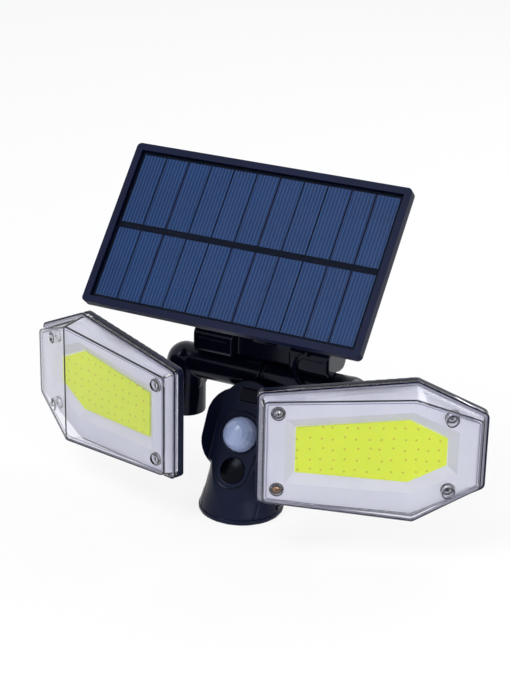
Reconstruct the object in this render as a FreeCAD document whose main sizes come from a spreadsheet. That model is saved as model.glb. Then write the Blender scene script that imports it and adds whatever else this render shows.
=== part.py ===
"""Solar flood light: a tilting solar panel and two swivelling lamp heads on a sensor body.

Frame: +Z up, the light faces -Y, +X to the right of someone who looks at its front.
The origin is the centre of the underside of the round base plate.
Lengths are millimetres and angles are degrees.

Local frames used below:
  lamp frame   origin on the lamp's swivel axis, local -Y is the way the lamp shines
  face frame   origin on the sensor face at the motion sensor, local Z is the face's outward normal
  panel frame  origin at the centre of the panel's front, local Z is the panel's outward normal
"""
import FreeCAD, Part
import os
import re
import Sketcher

# ---------------------------------------------------------------- driving dimensions
SIZES = {
    # running and seating clearances
    "running_gap": 0.05, "fit_gap": 0.3, "saddle_gap": 0.6, "web_gap": 0.2,
    # base plate and bell-shaped body
    "base_radius": 27.5, "base_thickness": 3.0, "spigot_radius": 23.2, "spigot_height": 4.0,
    "spigot_wall": 2.4, "fixing_circle": 15.0, "fixing_hole_radius": 2.3,
    "lock_screw_radius": 1.5, "lock_screw_height": 5.2, "lock_screw_length": 6.4,
    "bell_foot_radius": 27.1, "neck_radius": 18.5, "neck_height": 50.0, "shell_wall": 2.2,
    # sensor face
    "face_y": -2.5, "face_z": 52.0, "face_lean": 29.0, "face_depth": 9.0,
    "face_low": -20.0, "face_arch": 16.5,
    "dome_radius": 11.4, "dome_wall": 1.0, "dome_flange": 13.4, "flange_thickness": 1.1,
    "lens_radius": 8.2, "lens_flange": 9.4, "lens_drop": 23.5, "lens_rise": 1.6,
    "sensor_radius": 4.6, "sensor_height": 4.0, "retainer_wall": 1.5,
    "board_thickness": 1.6, "board_face": 6.6, "board_half_width": 15.0, "board_low": -32.0,
    "board_shoulder": 20.5, "board_top": 29.5, "board_top_half_width": 8.5,
    "button_half_width": 6.0, "button_height": 7.5, "button_low": 21.5, "button_rise": 1.0,
    "button_travel": 1.0, "button_flange": 1.0, "button_skirt": 1.2,
    # rear shell with battery
    "drum_half_width": 31.0, "drum_low": -24.0, "drum_top": 29.3, "drum_corner": 20.0,
    "drum_depth": 22.0, "gasket_thickness": 0.8, "gasket_width": 3.0, "cover_thickness": 3.0,
    "cell_radius": 9.1, "cell_length": 50.0, "cell_back": 20.7, "cell_v": 0.0, "cell_button": 1.2,
    "holder_half_length": 27.0, "holder_half_height": 10.5, "holder_depth": 8.0,
    "post_radius": 3.5, "post_x": 21.5, "post_low": -14.6, "post_high": 20.5,
    "screw_radius": 1.5, "screw_head_radius": 2.8, "screw_head_height": 1.6, "screw_grip": 8.0,
    # cross shaft, pivot bracket and arms
    "bar_y": 34.0, "bar_z": 79.0, "bar_radius": 11.0, "shaft_radius": 4.0, "shaft_half_length": 50.0,
    "web_thickness": 1.6, "web_disc_radius": 8.8, "web_half_width": 6.0, "web_tail": 12.0,
    "web_block_half": 5.0, "web_block_low": 11.0,
    "arm_x": 59.0, "barrel_radius": 13.0, "barrel_low": 42.5, "elbow_z": 77.0, "elbow_web": 14.0,
    "arm_screw_radius": 2.0, "arm_screw_grip": 10.0, "arm_head_radius": 4.0, "arm_head_height": 3.0,
    "arm_seat": 58.0, "washer_thickness": 1.0, "washer_radius": 5.4,
    "tongue_z": 57.0, "tongue_radius": 9.5, "tongue_height": 13.0, "tongue_gap": 0.3,
    "pin_radius": 3.0, "pin_top": 68.0, "pin_head_radius": 5.0, "pin_head_height": 3.0,
    "swing_in": 10.0, "swing_out": 55.0,
    # lamp heads
    "lamp_z": 68.0, "lamp_swing_right": 27.0, "lamp_swing_left": 22.4,
    "lamp_pivot_u": 56.5, "lamp_reach": 55.4,
    "flange_inner_u": -3.3, "flange_inner_h": 37.0, "flange_mid_u": 92.8, "flange_mid_h": 45.9,
    "flange_outer_u": 136.6, "flange_outer_h": 24.7, "flange_lip": 1.8, "lip_thickness": 2.4,
    "outline_corner": 4.0,
    "cover_inner_depth": 8.6, "cover_mid_depth": 17.4, "cover_outer_depth": 8.2,
    "cover_draft": 11.0, "cover_wall": 2.0,
    "screw_inner_u": 9.3, "screw_inner_h": 25.4, "screw_outer_u": 113.4, "screw_outer_h": 24.1,
    "boss_radius": 4.2, "pad_radius": 3.2, "pad_inset": 4.0,
    "lamp_screw_radius": 1.4, "lamp_head_radius": 2.9, "lamp_head_height": 2.0,
    "lamp_head_depth": 1.2,
    "chip_inner_u": 20.3, "chip_inner_h": 14.9, "chip_mid_u": 89.0, "chip_mid_h": 20.6,
    "chip_outer_u": 112.0, "chip_outer_h": 8.8, "chip_thickness": 1.0,
    "led_board_margin": 3.0, "led_board_thickness": 1.6, "led_board_front": 2.2,
    "reflector_front": 6.0, "reflector_sheet": 1.2, "reflector_inset": 5.6, "reflector_slope": 6.5,
    "housing_rim": 5.0, "housing_wall": 2.2, "housing_inset": 14.0, "housing_bulge": 8.0,
    "neck_half_width": 5.0, "neck_root_half_width": 11.0, "neck_root_half_height": 17.0,
    "neck_root_length": 10.0, "neck_root_lift": 4.0,
    # solar panel
    "panel_width": 188.0, "panel_height": 110.0, "panel_lean": 41.4, "panel_corner": 3.0,
    "frame_depth": 5.0, "bezel": 4.5, "frame_wall": 3.0, "recess": 1.6,
    "glazing": 1.0, "cell_film": 0.2, "backing": 1.6, "cell_count": 11, "cell_gap": 1.0,
    "cell_row_gap": 4.4, "cell_margin": 2.2, "back_plate": 1.5, "back_rib": 2.0,
    "bulge_width": 130.0, "bulge_height": 66.0, "bulge_depth": 5.5, "back_wall": 2.0,
    # panel hinge and bracket
    "hinge_y": 12.6, "hinge_z": 165.8, "hinge_back": 21.0, "knuckle_radius": 8.0,
    "knuckle_half": 10.7, "ear_thickness": 5.0, "ear_gap": 0.3, "hinge_bolt_radius": 3.0,
    "hinge_head_height": 3.0, "hinge_head_radius": 5.0, "knob_radius": 8.4, "knob_length": 9.0,
    "knob_lobes": 6, "knob_lobe_radius": 2.6,
    "saddle_half_width": 48.0, "saddle_front": 22.5, "saddle_back": 46.0, "saddle_base": 89.0,
    "saddle_top": 108.0, "saddle_notch_half": 20.0, "saddle_notch_depth": 8.0, "saddle_round": 6.0,
    "spine_thickness": 4.5, "spine_half_width": 14.0, "spine_low": 68.0,
    "foot_low": -5.0, "foot_high": 42.0, "foot_thickness": 4.0, "foot_screw_x": 9.5,
    "foot_screw_low": 2.0, "foot_screw_high": 24.0, "upright_half_width": 9.0,
}

doc = FreeCAD.newDocument("SolarFloodLight")
sheet = doc.addObject("Spreadsheet::Sheet", "Dims")
for row, (alias, amount) in enumerate(SIZES.items(), start=1):
    sheet.set(f"A{row}", alias)
    sheet.set(f"B{row}", str(amount))
    sheet.setAlias(f"B{row}", alias)
doc.recompute()

NODES = {}
WORD = re.compile(r"[a-z][a-z_]*[a-z]")


def linked(text):
    """Turn plain size names into references to the spreadsheet."""
    return WORD.sub(lambda hit: "Dims." + hit.group() if hit.group() in SIZES else hit.group(), str(text))


def value(text):
    """The number that an expression of size names has now."""
    amount = sheet.evalExpression(linked(text))
    return float(getattr(amount, "Value", amount))


def bind(thing, **sizes):
    """Bind properties of an object to expressions of the size names."""
    for prop, text in sizes.items():
        thing.setExpression(prop, linked(text))
    return thing


def move(thing, x="0", y="0", z="0", turn="0", axis=(1, 0, 0)):
    """Place an object by expressions: an offset and one turn about an axis."""
    rotation = FreeCAD.Rotation(FreeCAD.Vector(*axis), value(turn))
    thing.Placement = FreeCAD.Placement(FreeCAD.Vector(0, 0, 0), rotation)
    for part, text in (("x", x), ("y", y), ("z", z)):
        thing.setExpression("Placement.Base." + part, linked(text))
    if str(turn) != "0":
        thing.setExpression("Placement.Rotation.Angle", linked(turn))
    return thing


# ---------------------------------------------------------------- small vocabulary of solids
PLANES = {
    "xy": FreeCAD.Rotation(),
    "xz": FreeCAD.Rotation(FreeCAD.Vector(1, 0, 0), 90),      # sketch normal is -Y
    "yz": FreeCAD.Rotation(FreeCAD.Vector(1, 1, 1), 120),     # sketch normal is +X
}
START_AXIS = {"xy": ("z", ""), "xz": ("y", "-"), "yz": ("x", "")}
TURNS = {"z": ((0, 0, 1), 0), "x": ((0, 1, 0), 90), "y": ((1, 0, 0), -90)}


def block(name, x, y, z):
    """A box from three (low, high) pairs of expressions."""
    box = doc.addObject("Part::Box", name)
    bind(box, Length=f"({x[1]}) - ({x[0]})", Width=f"({y[1]}) - ({y[0]})", Height=f"({z[1]}) - ({z[0]})")
    return move(box, x[0], y[0], z[0])


def rod(name, radius, length, x="0", y="0", z="0", along="z"):
    """A cylinder that starts at a point and runs along one axis."""
    cylinder = bind(doc.addObject("Part::Cylinder", name), Radius=radius, Height=length)
    axis, angle = TURNS[along]
    return move(cylinder, x, y, z, turn=angle, axis=axis)


def ring(name, outer, inner, length, x="0", y="0", z="0", along="z"):
    """A tube that starts at a point and runs along one axis."""
    return cut(name, rod(name + "_outside", outer, length, x, y, z, along),
               rod(name + "_inside", inner, length, x, y, z, along))


def outline(name, corners, plane="xy", start="0"):
    """A closed sketch whose every corner is held by expressions."""
    sketch = doc.addObject("Sketcher::SketchObject", name)
    spots = [FreeCAD.Vector(value(x), value(y), 0) for x, y in corners]
    count = len(spots)
    for index, spot in enumerate(spots):
        sketch.addGeometry(Part.LineSegment(spot, spots[(index + 1) % count]))
    for index in range(count):
        sketch.addConstraint(Sketcher.Constraint("Coincident", index, 2, (index + 1) % count, 1))
    for index, (x, y) in enumerate(corners):
        for kind, text, size in (("DistanceX", x, spots[index].x), ("DistanceY", y, spots[index].y)):
            number = sketch.addConstraint(Sketcher.Constraint(kind, -1, 1, index, 1, size))
            sketch.setExpression(f"Constraints[{number}]", linked(text))
    sketch.Placement = FreeCAD.Placement(FreeCAD.Vector(0, 0, 0), PLANES[plane])
    axis, sign = START_AXIS[plane]
    sketch.setExpression("Placement.Base." + axis, linked(f"{sign}({start})"))
    return sketch


def prism(name, corners, length, plane="xy", start="0", draft=None):
    """A straight or drafted extrusion of a closed outline."""
    solid = doc.addObject("Part::Extrusion", name)
    solid.Base = outline(name + "_outline", corners, plane, start)
    solid.DirMode = "Normal"
    solid.Solid = True
    bind(solid, LengthFwd=length)
    if draft:
        bind(solid, TaperAngle=f"-({draft})")
    return solid


def loft(name, first, second, plane, start_first, start_second):
    """A ruled solid between two outlines with as many corners each."""
    solid = doc.addObject("Part::Loft", name)
    solid.Sections = [outline(name + "_first", first, plane, start_first),
                      outline(name + "_second", second, plane, start_second)]
    solid.Solid = True
    solid.Ruled = True
    return solid


def rounded(name, base, radius, direction):
    """Round the edges of a solid that run along a direction (within a steep draft)."""
    doc.recompute()
    size = value(radius)
    way = FreeCAD.Vector(*direction)
    picked = []
    for number, edge in enumerate(base.Shape.Edges, start=1):
        run = edge.Vertexes[-1].Point - edge.Vertexes[0].Point
        if run.Length > 0 and abs(run.normalize() * way) > 0.9:
            picked.append((number, size, size))
    solid = doc.addObject("Part::Fillet", name)
    solid.Base = base
    solid.Edges = picked
    return solid


def cut(name, base, *tools):
    """The base with every tool taken out of it."""
    for count, tool in enumerate(tools, start=1):
        result = doc.addObject("Part::Cut", name if count == len(tools) else f"{name}_cut{count}")
        result.Base = base
        result.Tool = tool
        base = result
    return base


def fuse(name, *parts):
    """All the parts joined into one solid."""
    result = doc.addObject("Part::MultiFuse", name)
    result.Shapes = list(parts)
    result.Refine = True
    return result


def common(name, first, second):
    """What two solids share."""
    result = doc.addObject("Part::MultiCommon", name)
    result.Shapes = [first, second]
    return result


def group(name, *parts):
    """Separate solids kept in one node."""
    result = doc.addObject("Part::Compound", name)
    result.Links = list(parts)
    return result


def node(label, solid):
    """Name a finished piece of the light."""
    solid.Label = label
    NODES[label] = solid
    return solid


def held(thing):
    """Wrap a plain primitive, whose own place must stay, so that it can be carried to a frame."""
    plain = ("Part::Box", "Part::Cylinder", "Part::Extrusion")
    return group(thing.Name + "_held", thing) if thing.TypeId in plain else thing


def to_face(thing):
    """Place a piece that is drawn in the face frame."""
    return move(held(thing), "0", "face_y", "face_z", turn="90 - face_lean")


def to_panel(thing):
    """Place a piece that is drawn in the panel frame, from the hinge axis."""
    y = "hinge_y - hinge_back * cos(panel_lean * 1deg)"
    z = "hinge_z + hinge_back * sin(panel_lean * 1deg)"
    return move(held(thing), "0", y, z, turn="90 - panel_lean")


def to_lamp(thing, side, hand):
    """Place a piece that is drawn in the lamp frame, swung outwards about the swivel axis."""
    return move(held(thing), f"{side} * arm_x", "bar_y", "lamp_z", turn=f"{side} * lamp_swing_{hand}",
                axis=(0, 0, 1))


# ---------------------------------------------------------------- base plate and bell-shaped body
FLARE = "((neck_height - base_thickness)^2 + (bell_foot_radius - neck_radius)^2)" \
        " / (2 * (bell_foot_radius - neck_radius))"


def bell_radius(share):
    """Radius of the flared foot at a share of the way from its foot to its neck."""
    drop = f"((1 - {share}) * (neck_height - base_thickness))"
    return f"(neck_radius + {FLARE} - sqrt(({FLARE})^2 - {drop}^2))"


def bell(name, inset):
    """The flared foot: short cones stacked along a hollow curve of large radius."""
    steps = 4
    cones = []
    for index in range(steps):
        cone = doc.addObject("Part::Cone", f"{name}_cone{index}")
        bind(cone, Radius1=f"{bell_radius(f'{index} / {steps}')} - ({inset})",
             Radius2=f"{bell_radius(f'{index + 1} / {steps}')} - ({inset})",
             Height=f"(neck_height - base_thickness) / {steps}")
        cones.append(move(cone, z=f"base_thickness + (neck_height - base_thickness) * {index} / {steps}"))
    return fuse(name, *cones)


def face_shield(name, inset, front):
    """The arched slab behind the sensor face, in the face frame and placed."""
    half = f"neck_radius - ({inset})"
    slab = block(name + "_slab", (f"-({half})", half), ("face_low", "face_arch"), ("-face_depth", front))
    arch = rod(name + "_arch", half, f"face_depth + ({front})", y="face_arch", z="-face_depth")
    return to_face(fuse(name, slab, arch))


def face_space(name, low, high):
    """Everything between two depths of the face frame."""
    reach = "(base_radius * 4)"
    return to_face(block(name, (f"-{reach}", reach), (f"-{reach}", reach), (low, high)))


def drum(name, inset, back, front):
    """The rounded rear case between two depths, in the face frame and placed."""
    half = f"drum_half_width - ({inset})"
    low = f"drum_low + ({inset})"
    high = f"drum_top - ({inset})"
    corners = [(f"-({half})", low), (half, low), (half, high), (f"-({half})", high)]
    slab = prism(name + "_slab", corners, f"({front}) - ({back})", start=back)
    return to_face(rounded(name, slab, f"drum_corner - ({inset})", (0, 0, 1)))


def around(name, radius, length, low, count, angle, distance):
    """Upright cylinders evenly spaced on a circle."""
    pieces = []
    for index in range(count):
        turn = f"({angle} + {index} * 360 / {count}) * 1deg"
        pieces.append(rod(f"{name}{index}", radius, length, f"({distance}) * cos({turn})",
                          f"({distance}) * sin({turn})", low))
    return pieces


def build_base():
    """Base plate with its wall fixings, and the two side screws that lock the body to it."""
    disc = rod("base_disc", "base_radius", "base_thickness")
    spigot = ring("base_spigot", "spigot_radius", "spigot_radius - spigot_wall", "spigot_height",
                  z="base_thickness")
    holes = around("fixing_hole", "fixing_hole_radius", "base_thickness", "0", 3, 90, "fixing_circle")
    threads = [lock_screw(f"lock_thread_{hand}", side, "0") for side, hand in SIDES]
    node("base_plate", cut("base_plate", fuse("base_solid", disc, spigot), *holes, *threads))
    screws = [lock_screw(f"lock_{hand}", side, "0") for side, hand in SIDES]
    node("base_lock_screws", group("base_lock_screws", *screws))


def lock_screw(name, side, clearance):
    """One side screw, from inside the spigot out to the bell's skirt."""
    start = "spigot_radius - spigot_wall"
    length = "lock_screw_length"
    x = start if side > 0 else f"-({start}) - {length}"
    return rod(name, f"lock_screw_radius + ({clearance})", length, x=x, z="lock_screw_height", along="x")


SIDES = ((1, "right"), (-1, "left"))
BOARD_BACK = "-board_face - board_thickness"
DRUM_BACK = "-face_depth - drum_depth"
COVER_FRONT = f"{DRUM_BACK} - gasket_thickness"
COVER_BACK = f"{COVER_FRONT} - cover_thickness"
FOOT_BACK = f"{COVER_BACK} - foot_thickness"
BAR_V = "((bar_y - face_y) * sin(face_lean * 1deg) + (bar_z - face_z) * cos(face_lean * 1deg))"
BAR_N = "((bar_z - face_z) * sin(face_lean * 1deg) - (bar_y - face_y) * cos(face_lean * 1deg))"


def build_front_shell():
    """Front half of the body: bell and sensor face, open at the back and below."""
    front = face_space("front_space", "-face_depth", "0")
    outside = fuse("front_outside", common("front_bell", bell("bell_front", "0"), front),
                   face_shield("face_shield", "0", "0"))
    behind_face = face_space("hollow_space", "-face_depth", "-shell_wall")
    inside = fuse("front_inside", common("front_hollow", bell("bell_hollow", "shell_wall"), behind_face),
                  face_shield("face_hollow", "shell_wall", "-shell_wall"))
    dome_hole = to_face(rod("dome_hole", "dome_radius + running_gap", "shell_wall", z="-shell_wall"))
    lens_hole = to_face(rod("lens_hole", "lens_radius + running_gap", "shell_wall", y="-lens_drop",
                            z="-shell_wall"))
    half = "(button_half_width + fit_gap)"
    button_hole = to_face(block("button_hole", (f"-{half}", half),
                                ("button_low - fit_gap", "button_low + button_height + fit_gap"),
                                ("-shell_wall", "0")))
    screws = [lock_screw(f"front_lock_{hand}", side, "running_gap") for side, hand in SIDES]
    node("front_shell", cut("front_shell", outside, inside, dome_hole, lens_hole, button_hole, *screws))


def build_sensor():
    """Dome, lens, sensor board and mode button behind the face."""
    ball = doc.addObject("Part::Sphere", "dome_ball")
    bind(ball, Radius="dome_radius")
    hollow = bind(doc.addObject("Part::Sphere", "dome_hollow"), Radius="dome_radius - dome_wall")
    bore = rod("dome_bore", "dome_radius - dome_wall", "shell_wall + flange_thickness",
               z="-shell_wall - flange_thickness")
    collar = rod("dome_collar", "dome_radius", "shell_wall", z="-shell_wall")
    flange = rod("dome_rim", "dome_flange", "flange_thickness", z="-shell_wall - flange_thickness")
    below = block("dome_below", ("-dome_radius", "dome_radius"), ("-dome_radius", "dome_radius"),
                  ("-dome_radius", "0"))
    upper = cut("dome_upper", ball, below)
    node("pir_dome", to_face(cut("pir_dome", fuse("dome_solid", upper, collar, flange), hollow, bore)))
    seat = "-shell_wall - flange_thickness"
    node("pir_retainer", to_face(ring("pir_retainer", "dome_flange", "dome_flange - retainer_wall",
                                      f"board_face + {seat}", z="-board_face")))
    node("pir_sensor", to_face(rod("pir_sensor", "sensor_radius", "sensor_height", z="-board_face")))
    lens = fuse("lens_solid",
                rod("lens_barrel", "lens_radius", "shell_wall", y="-lens_drop", z="-shell_wall"),
                rod("lens_rim", "lens_flange", "board_face - shell_wall", y="-lens_drop", z="-board_face"),
                lens_cap())
    node("light_lens", to_face(lens))
    corners = [("board_half_width", "board_low"), ("board_half_width", "board_shoulder"),
               ("board_top_half_width", "board_top"), ("-board_top_half_width", "board_top"),
               ("-board_half_width", "board_shoulder"), ("-board_half_width", "board_low")]
    node("main_board", to_face(prism("main_board", corners, "board_thickness", start=BOARD_BACK)))
    key_back = "-(board_face - button_travel - 2 * running_gap)"
    key = block("button_key", ("-button_half_width", "button_half_width"),
                ("button_low", "button_low + button_height"), (key_back, "button_rise"))
    skirt_half = "(button_half_width + button_flange)"
    skirt_back = "-shell_wall - fit_gap - button_skirt"
    skirt = block("button_skirt", (f"-{skirt_half}", skirt_half),
                  ("button_low - button_flange", "button_low + button_height + button_flange"),
                  (skirt_back, "-shell_wall - fit_gap"))
    node("mode_button", to_face(fuse("mode_button", key, skirt)))


def lens_cap():
    """The shallow crown of the dark lens: a ball of large radius cut by a disc."""
    ball = doc.addObject("Part::Sphere", "lens_ball")
    radius = "((lens_radius^2 + lens_rise^2) / (2 * lens_rise))"
    bind(ball, Radius=radius)
    move(ball, y="-lens_drop", z=f"lens_rise - {radius}")
    disc = rod("lens_disc", "lens_radius", "lens_rise", y="-lens_drop")
    return common("lens_crown", ball, disc)


def posts(name, radius, back, length, xs, vs):
    """Cylinders along the face normal at every pairing of two lists of places."""
    return [rod(f"{name}{i}{j}", radius, length, x, v, back)
            for i, x in enumerate(xs) for j, v in enumerate(vs)]


POST_X = ("-post_x", "post_x")
POST_V = ("post_low", "post_high")


def build_rear_shell():
    """Rear half of the body: back of the bell, battery case, screw posts and the bracket's slot."""
    rear = face_space("rear_space", "-base_radius * 4", "-face_depth")
    outside = fuse("rear_outside", common("rear_bell", bell("bell_rear", "0"), rear),
                   drum("drum_outside", "0", DRUM_BACK, "-face_depth"))
    pocket = drum("cover_pocket", "-fit_gap", "-base_radius * 4", DRUM_BACK)
    ledge = drum("cover_ledge", "-fit_gap - shell_wall", "-base_radius * 4", f"{DRUM_BACK} + shell_wall")
    hollow = common("rear_hollow", bell("bell_rear_hollow", "shell_wall"),
                    face_space("rear_hollow_space", "-base_radius * 4", "-face_depth"))
    case_hollow = drum("case_hollow", "shell_wall", DRUM_BACK, "-face_depth - shell_wall")
    half = "(neck_radius - 2 * shell_wall)"
    doorway = to_face(block("doorway", (f"-{half}", half), ("face_low", "face_arch"),
                            ("-face_depth - 2 * shell_wall", "shell_wall - face_depth")))
    skin = cut("rear_skin", cut("rear_shape", outside, pocket), case_hollow, doorway,
               cut("rear_cavity", hollow, ledge))
    supports = posts("post", "post_radius", DRUM_BACK, "drum_depth", POST_X, POST_V)
    slot_block = block("slot_block", ("-web_block_half", "web_block_half"),
                       ("web_block_low", "drum_top - shell_wall / 2"),
                       (f"{BAR_N} - web_half_width - 2", f"{BAR_N} + web_half_width"))
    solid = fuse("rear_solid", skin, to_face(fuse("rear_supports", *supports, slot_block)))
    slot = to_face(web_plate("web_slot", "running_gap", "0"))
    threads = [to_face(thread) for thread in
               posts("thread", "screw_radius", DRUM_BACK, "screw_grip", POST_X, POST_V)]
    screws = [lock_screw(f"rear_lock_{hand}", side, "running_gap") for side, hand in SIDES]
    node("rear_shell", cut("rear_shell", solid, slot, *threads, *screws))


def web_plate(name, gap, disc_gap):
    """The steel plate on the middle plane: a tail in the case and a disc round the shaft."""
    half = f"(web_thickness / 2 + {gap})"
    tail = block(name + "_tail", (f"-{half}", half), ("web_tail", BAR_V),
                 (f"{BAR_N} - web_half_width", f"{BAR_N} + web_half_width"))
    disc = rod(name + "_disc", f"web_disc_radius + {disc_gap}", f"2 * {half}", f"-{half}", BAR_V, BAR_N, "x")
    return fuse(name, tail, disc)


def build_battery():
    """Battery cell, its cradle, and the gasketed rear cover with its screws."""
    cell = fuse("cell_solid",
                rod("cell_can", "cell_radius", "cell_length",
                    "-cell_length / 2", "cell_v", "-cell_back", "x"),
                rod("cell_tip", "cell_radius / 3", "cell_button",
                    "cell_length / 2", "cell_v", "-cell_back", "x"))
    node("battery_cell", to_face(cell))
    cradle = block("cradle", ("-holder_half_length", "holder_half_length"),
                   ("cell_v - holder_half_height", "cell_v + holder_half_height"),
                   (DRUM_BACK, f"{DRUM_BACK} + holder_depth"))
    groove = rod("cradle_groove", "cell_radius + running_gap", "cell_length + 4 * cell_button",
                 "-cell_length / 2 - 2 * cell_button", "cell_v", "-cell_back", "x")
    node("battery_cradle", to_face(cut("battery_cradle", cradle, groove)))
    gasket_hole = drum("gasket_hole", "gasket_width", COVER_FRONT, DRUM_BACK)
    gasket_body = drum("gasket_body", "fit_gap", COVER_FRONT, DRUM_BACK)
    gasket_holes = [to_face(hole) for hole in
                    posts("gasket_screw", "screw_radius + fit_gap", COVER_FRONT, "gasket_thickness",
                          POST_X, POST_V)]
    node("cover_gasket", cut("cover_gasket", gasket_body, gasket_hole, *gasket_holes))
    cover_holes = [to_face(hole) for hole in
                   posts("cover_hole", "screw_radius + running_gap", COVER_BACK, "cover_thickness",
                         POST_X, POST_V)]
    foot_threads = [to_face(hole) for hole in
                    posts("foot_thread", "screw_radius", COVER_BACK, "cover_thickness", FOOT_X, FOOT_V)]
    node("rear_cover", cut("rear_cover", drum("cover_plate", "0", COVER_BACK, COVER_FRONT),
                           *cover_holes, *foot_threads))
    node("rear_cover_screws", to_face(screw_set("cover_screw", COVER_BACK, POST_X, POST_V,
                                                "cover_thickness + gasket_thickness + screw_grip")))


def screw_set(name, seat, xs, vs, length):
    """Round-headed screws that enter along the face normal."""
    shanks = posts(name + "_shank", "screw_radius", seat, length, xs, vs)
    heads = posts(name + "_head", "screw_head_radius", f"{seat} - screw_head_height",
                  "screw_head_height", xs, vs)
    return group(name + "s", *[fuse(f"{name}{i}", *pair) for i, pair in enumerate(zip(shanks, heads))])


FOOT_X = ("-foot_screw_x", "foot_screw_x")
FOOT_V = ("foot_screw_low", "foot_screw_high")


# ---------------------------------------------------------------- cross shaft, arms and lamps
def build_shaft():
    """Steel plate rising from the case and the shaft that both arms turn on."""
    shaft = rod("shaft_hole", "shaft_radius", "web_thickness", "-web_thickness / 2", BAR_V, BAR_N, "x")
    node("pivot_plate", to_face(cut("pivot_plate", web_plate("plate_solid", "0", "0"), shaft)))
    body = rod("shaft_body", "shaft_radius", "2 * shaft_half_length",
               "-shaft_half_length", "bar_y", "bar_z", "x")
    threads = []
    for side, hand in SIDES:
        start = "shaft_half_length - arm_screw_grip" if side > 0 else "-shaft_half_length"
        threads.append(rod(f"shaft_thread_{hand}", "arm_screw_radius", "arm_screw_grip", start,
                           "bar_y", "bar_z", "x"))
    node("cross_shaft", cut("cross_shaft", body, *threads))


def side_rod(name, side, radius, low, high):
    """A cylinder on the bar's axis between two distances from the middle, on one side."""
    start = low if side > 0 else f"-({high})"
    return rod(name, radius, f"({high}) - ({low})", start, "bar_y", "bar_z", "x")


def build_arm(side, hand):
    """L-shaped arm: a barrel on the shaft, a round elbow and an upright barrel for the lamp."""
    inner = "web_thickness / 2 + web_gap"
    x = f"{side} * arm_x"
    barrel = side_rod(f"arm_barrel_{hand}", side, "bar_radius", inner, "arm_x")
    upright = rod(f"arm_upright_{hand}", "barrel_radius", "elbow_z - barrel_low", x, "bar_y", "barrel_low")
    elbow = doc.addObject("Part::Sphere", f"arm_elbow_{hand}")
    bind(elbow, Radius="barrel_radius")
    move(elbow, x, "bar_y", "elbow_z")
    start = f"{side} * (arm_x - barrel_radius)"
    gusset_corners = [(start, "elbow_z"), (f"{side} * (arm_x - barrel_radius - elbow_web)", "bar_z"),
                      (start, "bar_z"), (x, "bar_z"), (x, "elbow_z - elbow_web"),
                      (start, "elbow_z - elbow_web")]
    gusset = prism(f"arm_gusset_{hand}", gusset_corners, "bar_radius", "xz", "-bar_y - bar_radius / 2")
    solid = fuse(f"arm_solid_{hand}", barrel, upright, elbow, gusset)
    bore = side_rod(f"arm_bore_{hand}", side, "shaft_radius + running_gap", inner,
                    "shaft_half_length + fit_gap")
    screw_bore = side_rod(f"arm_screw_bore_{hand}", side, "arm_screw_radius + fit_gap", "shaft_half_length",
                          "arm_seat")
    socket = side_rod(f"arm_socket_{hand}", side, "washer_radius + fit_gap", "arm_seat",
                      "arm_x + 2 * barrel_radius")
    pin_bore = rod(f"arm_pin_bore_{hand}", "pin_radius", "pin_top - barrel_low", x, "bar_y", "barrel_low")
    head_bore = rod(f"arm_head_bore_{hand}", "pin_head_radius + fit_gap", "pin_head_height", x, "bar_y",
                    "barrel_low")
    chamber = rod(f"arm_chamber_{hand}", "tongue_radius + fit_gap", "tongue_height + 2 * tongue_gap", x,
                  "bar_y", "tongue_z - tongue_height / 2 - tongue_gap")
    node(f"arm_{hand}", cut(f"arm_{hand}", solid, bore, screw_bore, socket, pin_bore, head_bore, chamber,
                            swing_window(side, hand)))
    washer = cut(f"arm_washer_{hand}",
                 side_rod(f"washer_disc_{hand}", side, "washer_radius", "arm_seat",
                          "arm_seat + washer_thickness"),
                 side_rod(f"washer_hole_{hand}", side, "arm_screw_radius", "arm_seat",
                          "arm_seat + washer_thickness"))
    node(f"arm_washer_{hand}", washer)
    seat = "arm_seat + washer_thickness"
    screw = fuse(f"arm_screw_{hand}",
                 side_rod(f"arm_screw_shank_{hand}", side, "arm_screw_radius",
                          "shaft_half_length - arm_screw_grip", seat),
                 side_rod(f"arm_screw_head_{hand}", side, "arm_head_radius", seat,
                          f"{seat} + arm_head_height"))
    node(f"arm_screw_{hand}", screw)
    pin = fuse(f"swivel_pin_{hand}",
               rod(f"pin_body_{hand}", "pin_radius", "pin_top - barrel_low", x, "bar_y", "barrel_low"),
               rod(f"pin_head_{hand}", "pin_head_radius", "pin_head_height", x, "bar_y", "barrel_low"))
    node(f"swivel_pin_{hand}", pin)


def swing_window(side, hand):
    """The opening in the upright barrel that the lamp's neck sweeps through."""
    half = "(neck_half_width + 2 * fit_gap)"
    reach = "(2 * barrel_radius)"
    inward = f"(lamp_swing_{hand} - swing_in) * 1deg"
    outward = f"(lamp_swing_{hand} + swing_out) * 1deg"
    middle = f"(lamp_swing_{hand} + (swing_out - swing_in) / 2) * 1deg"
    corners = [("0", "0"),
               (f"{side} * (-{half} * cos({inward}))", f"-{half} * sin({inward})"),
               (f"{side} * (-{half} * cos({inward}) + {reach} * sin({inward}))",
                f"-{half} * sin({inward}) - {reach} * cos({inward})"),
               (f"{side} * 2 * {reach} * sin({middle})", f"-2 * {reach} * cos({middle})"),
               (f"{side} * ({half} * cos({outward}) + {reach} * sin({outward}))",
                f"{half} * sin({outward}) - {reach} * cos({outward})"),
               (f"{side} * {half} * cos({outward})", f"{half} * sin({outward})")]
    window = prism(f"swing_window_{hand}", corners, "tongue_height + 2 * tongue_gap")
    return move(window, f"{side} * arm_x", "bar_y", "tongue_z - tongue_height / 2 - tongue_gap")


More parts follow.
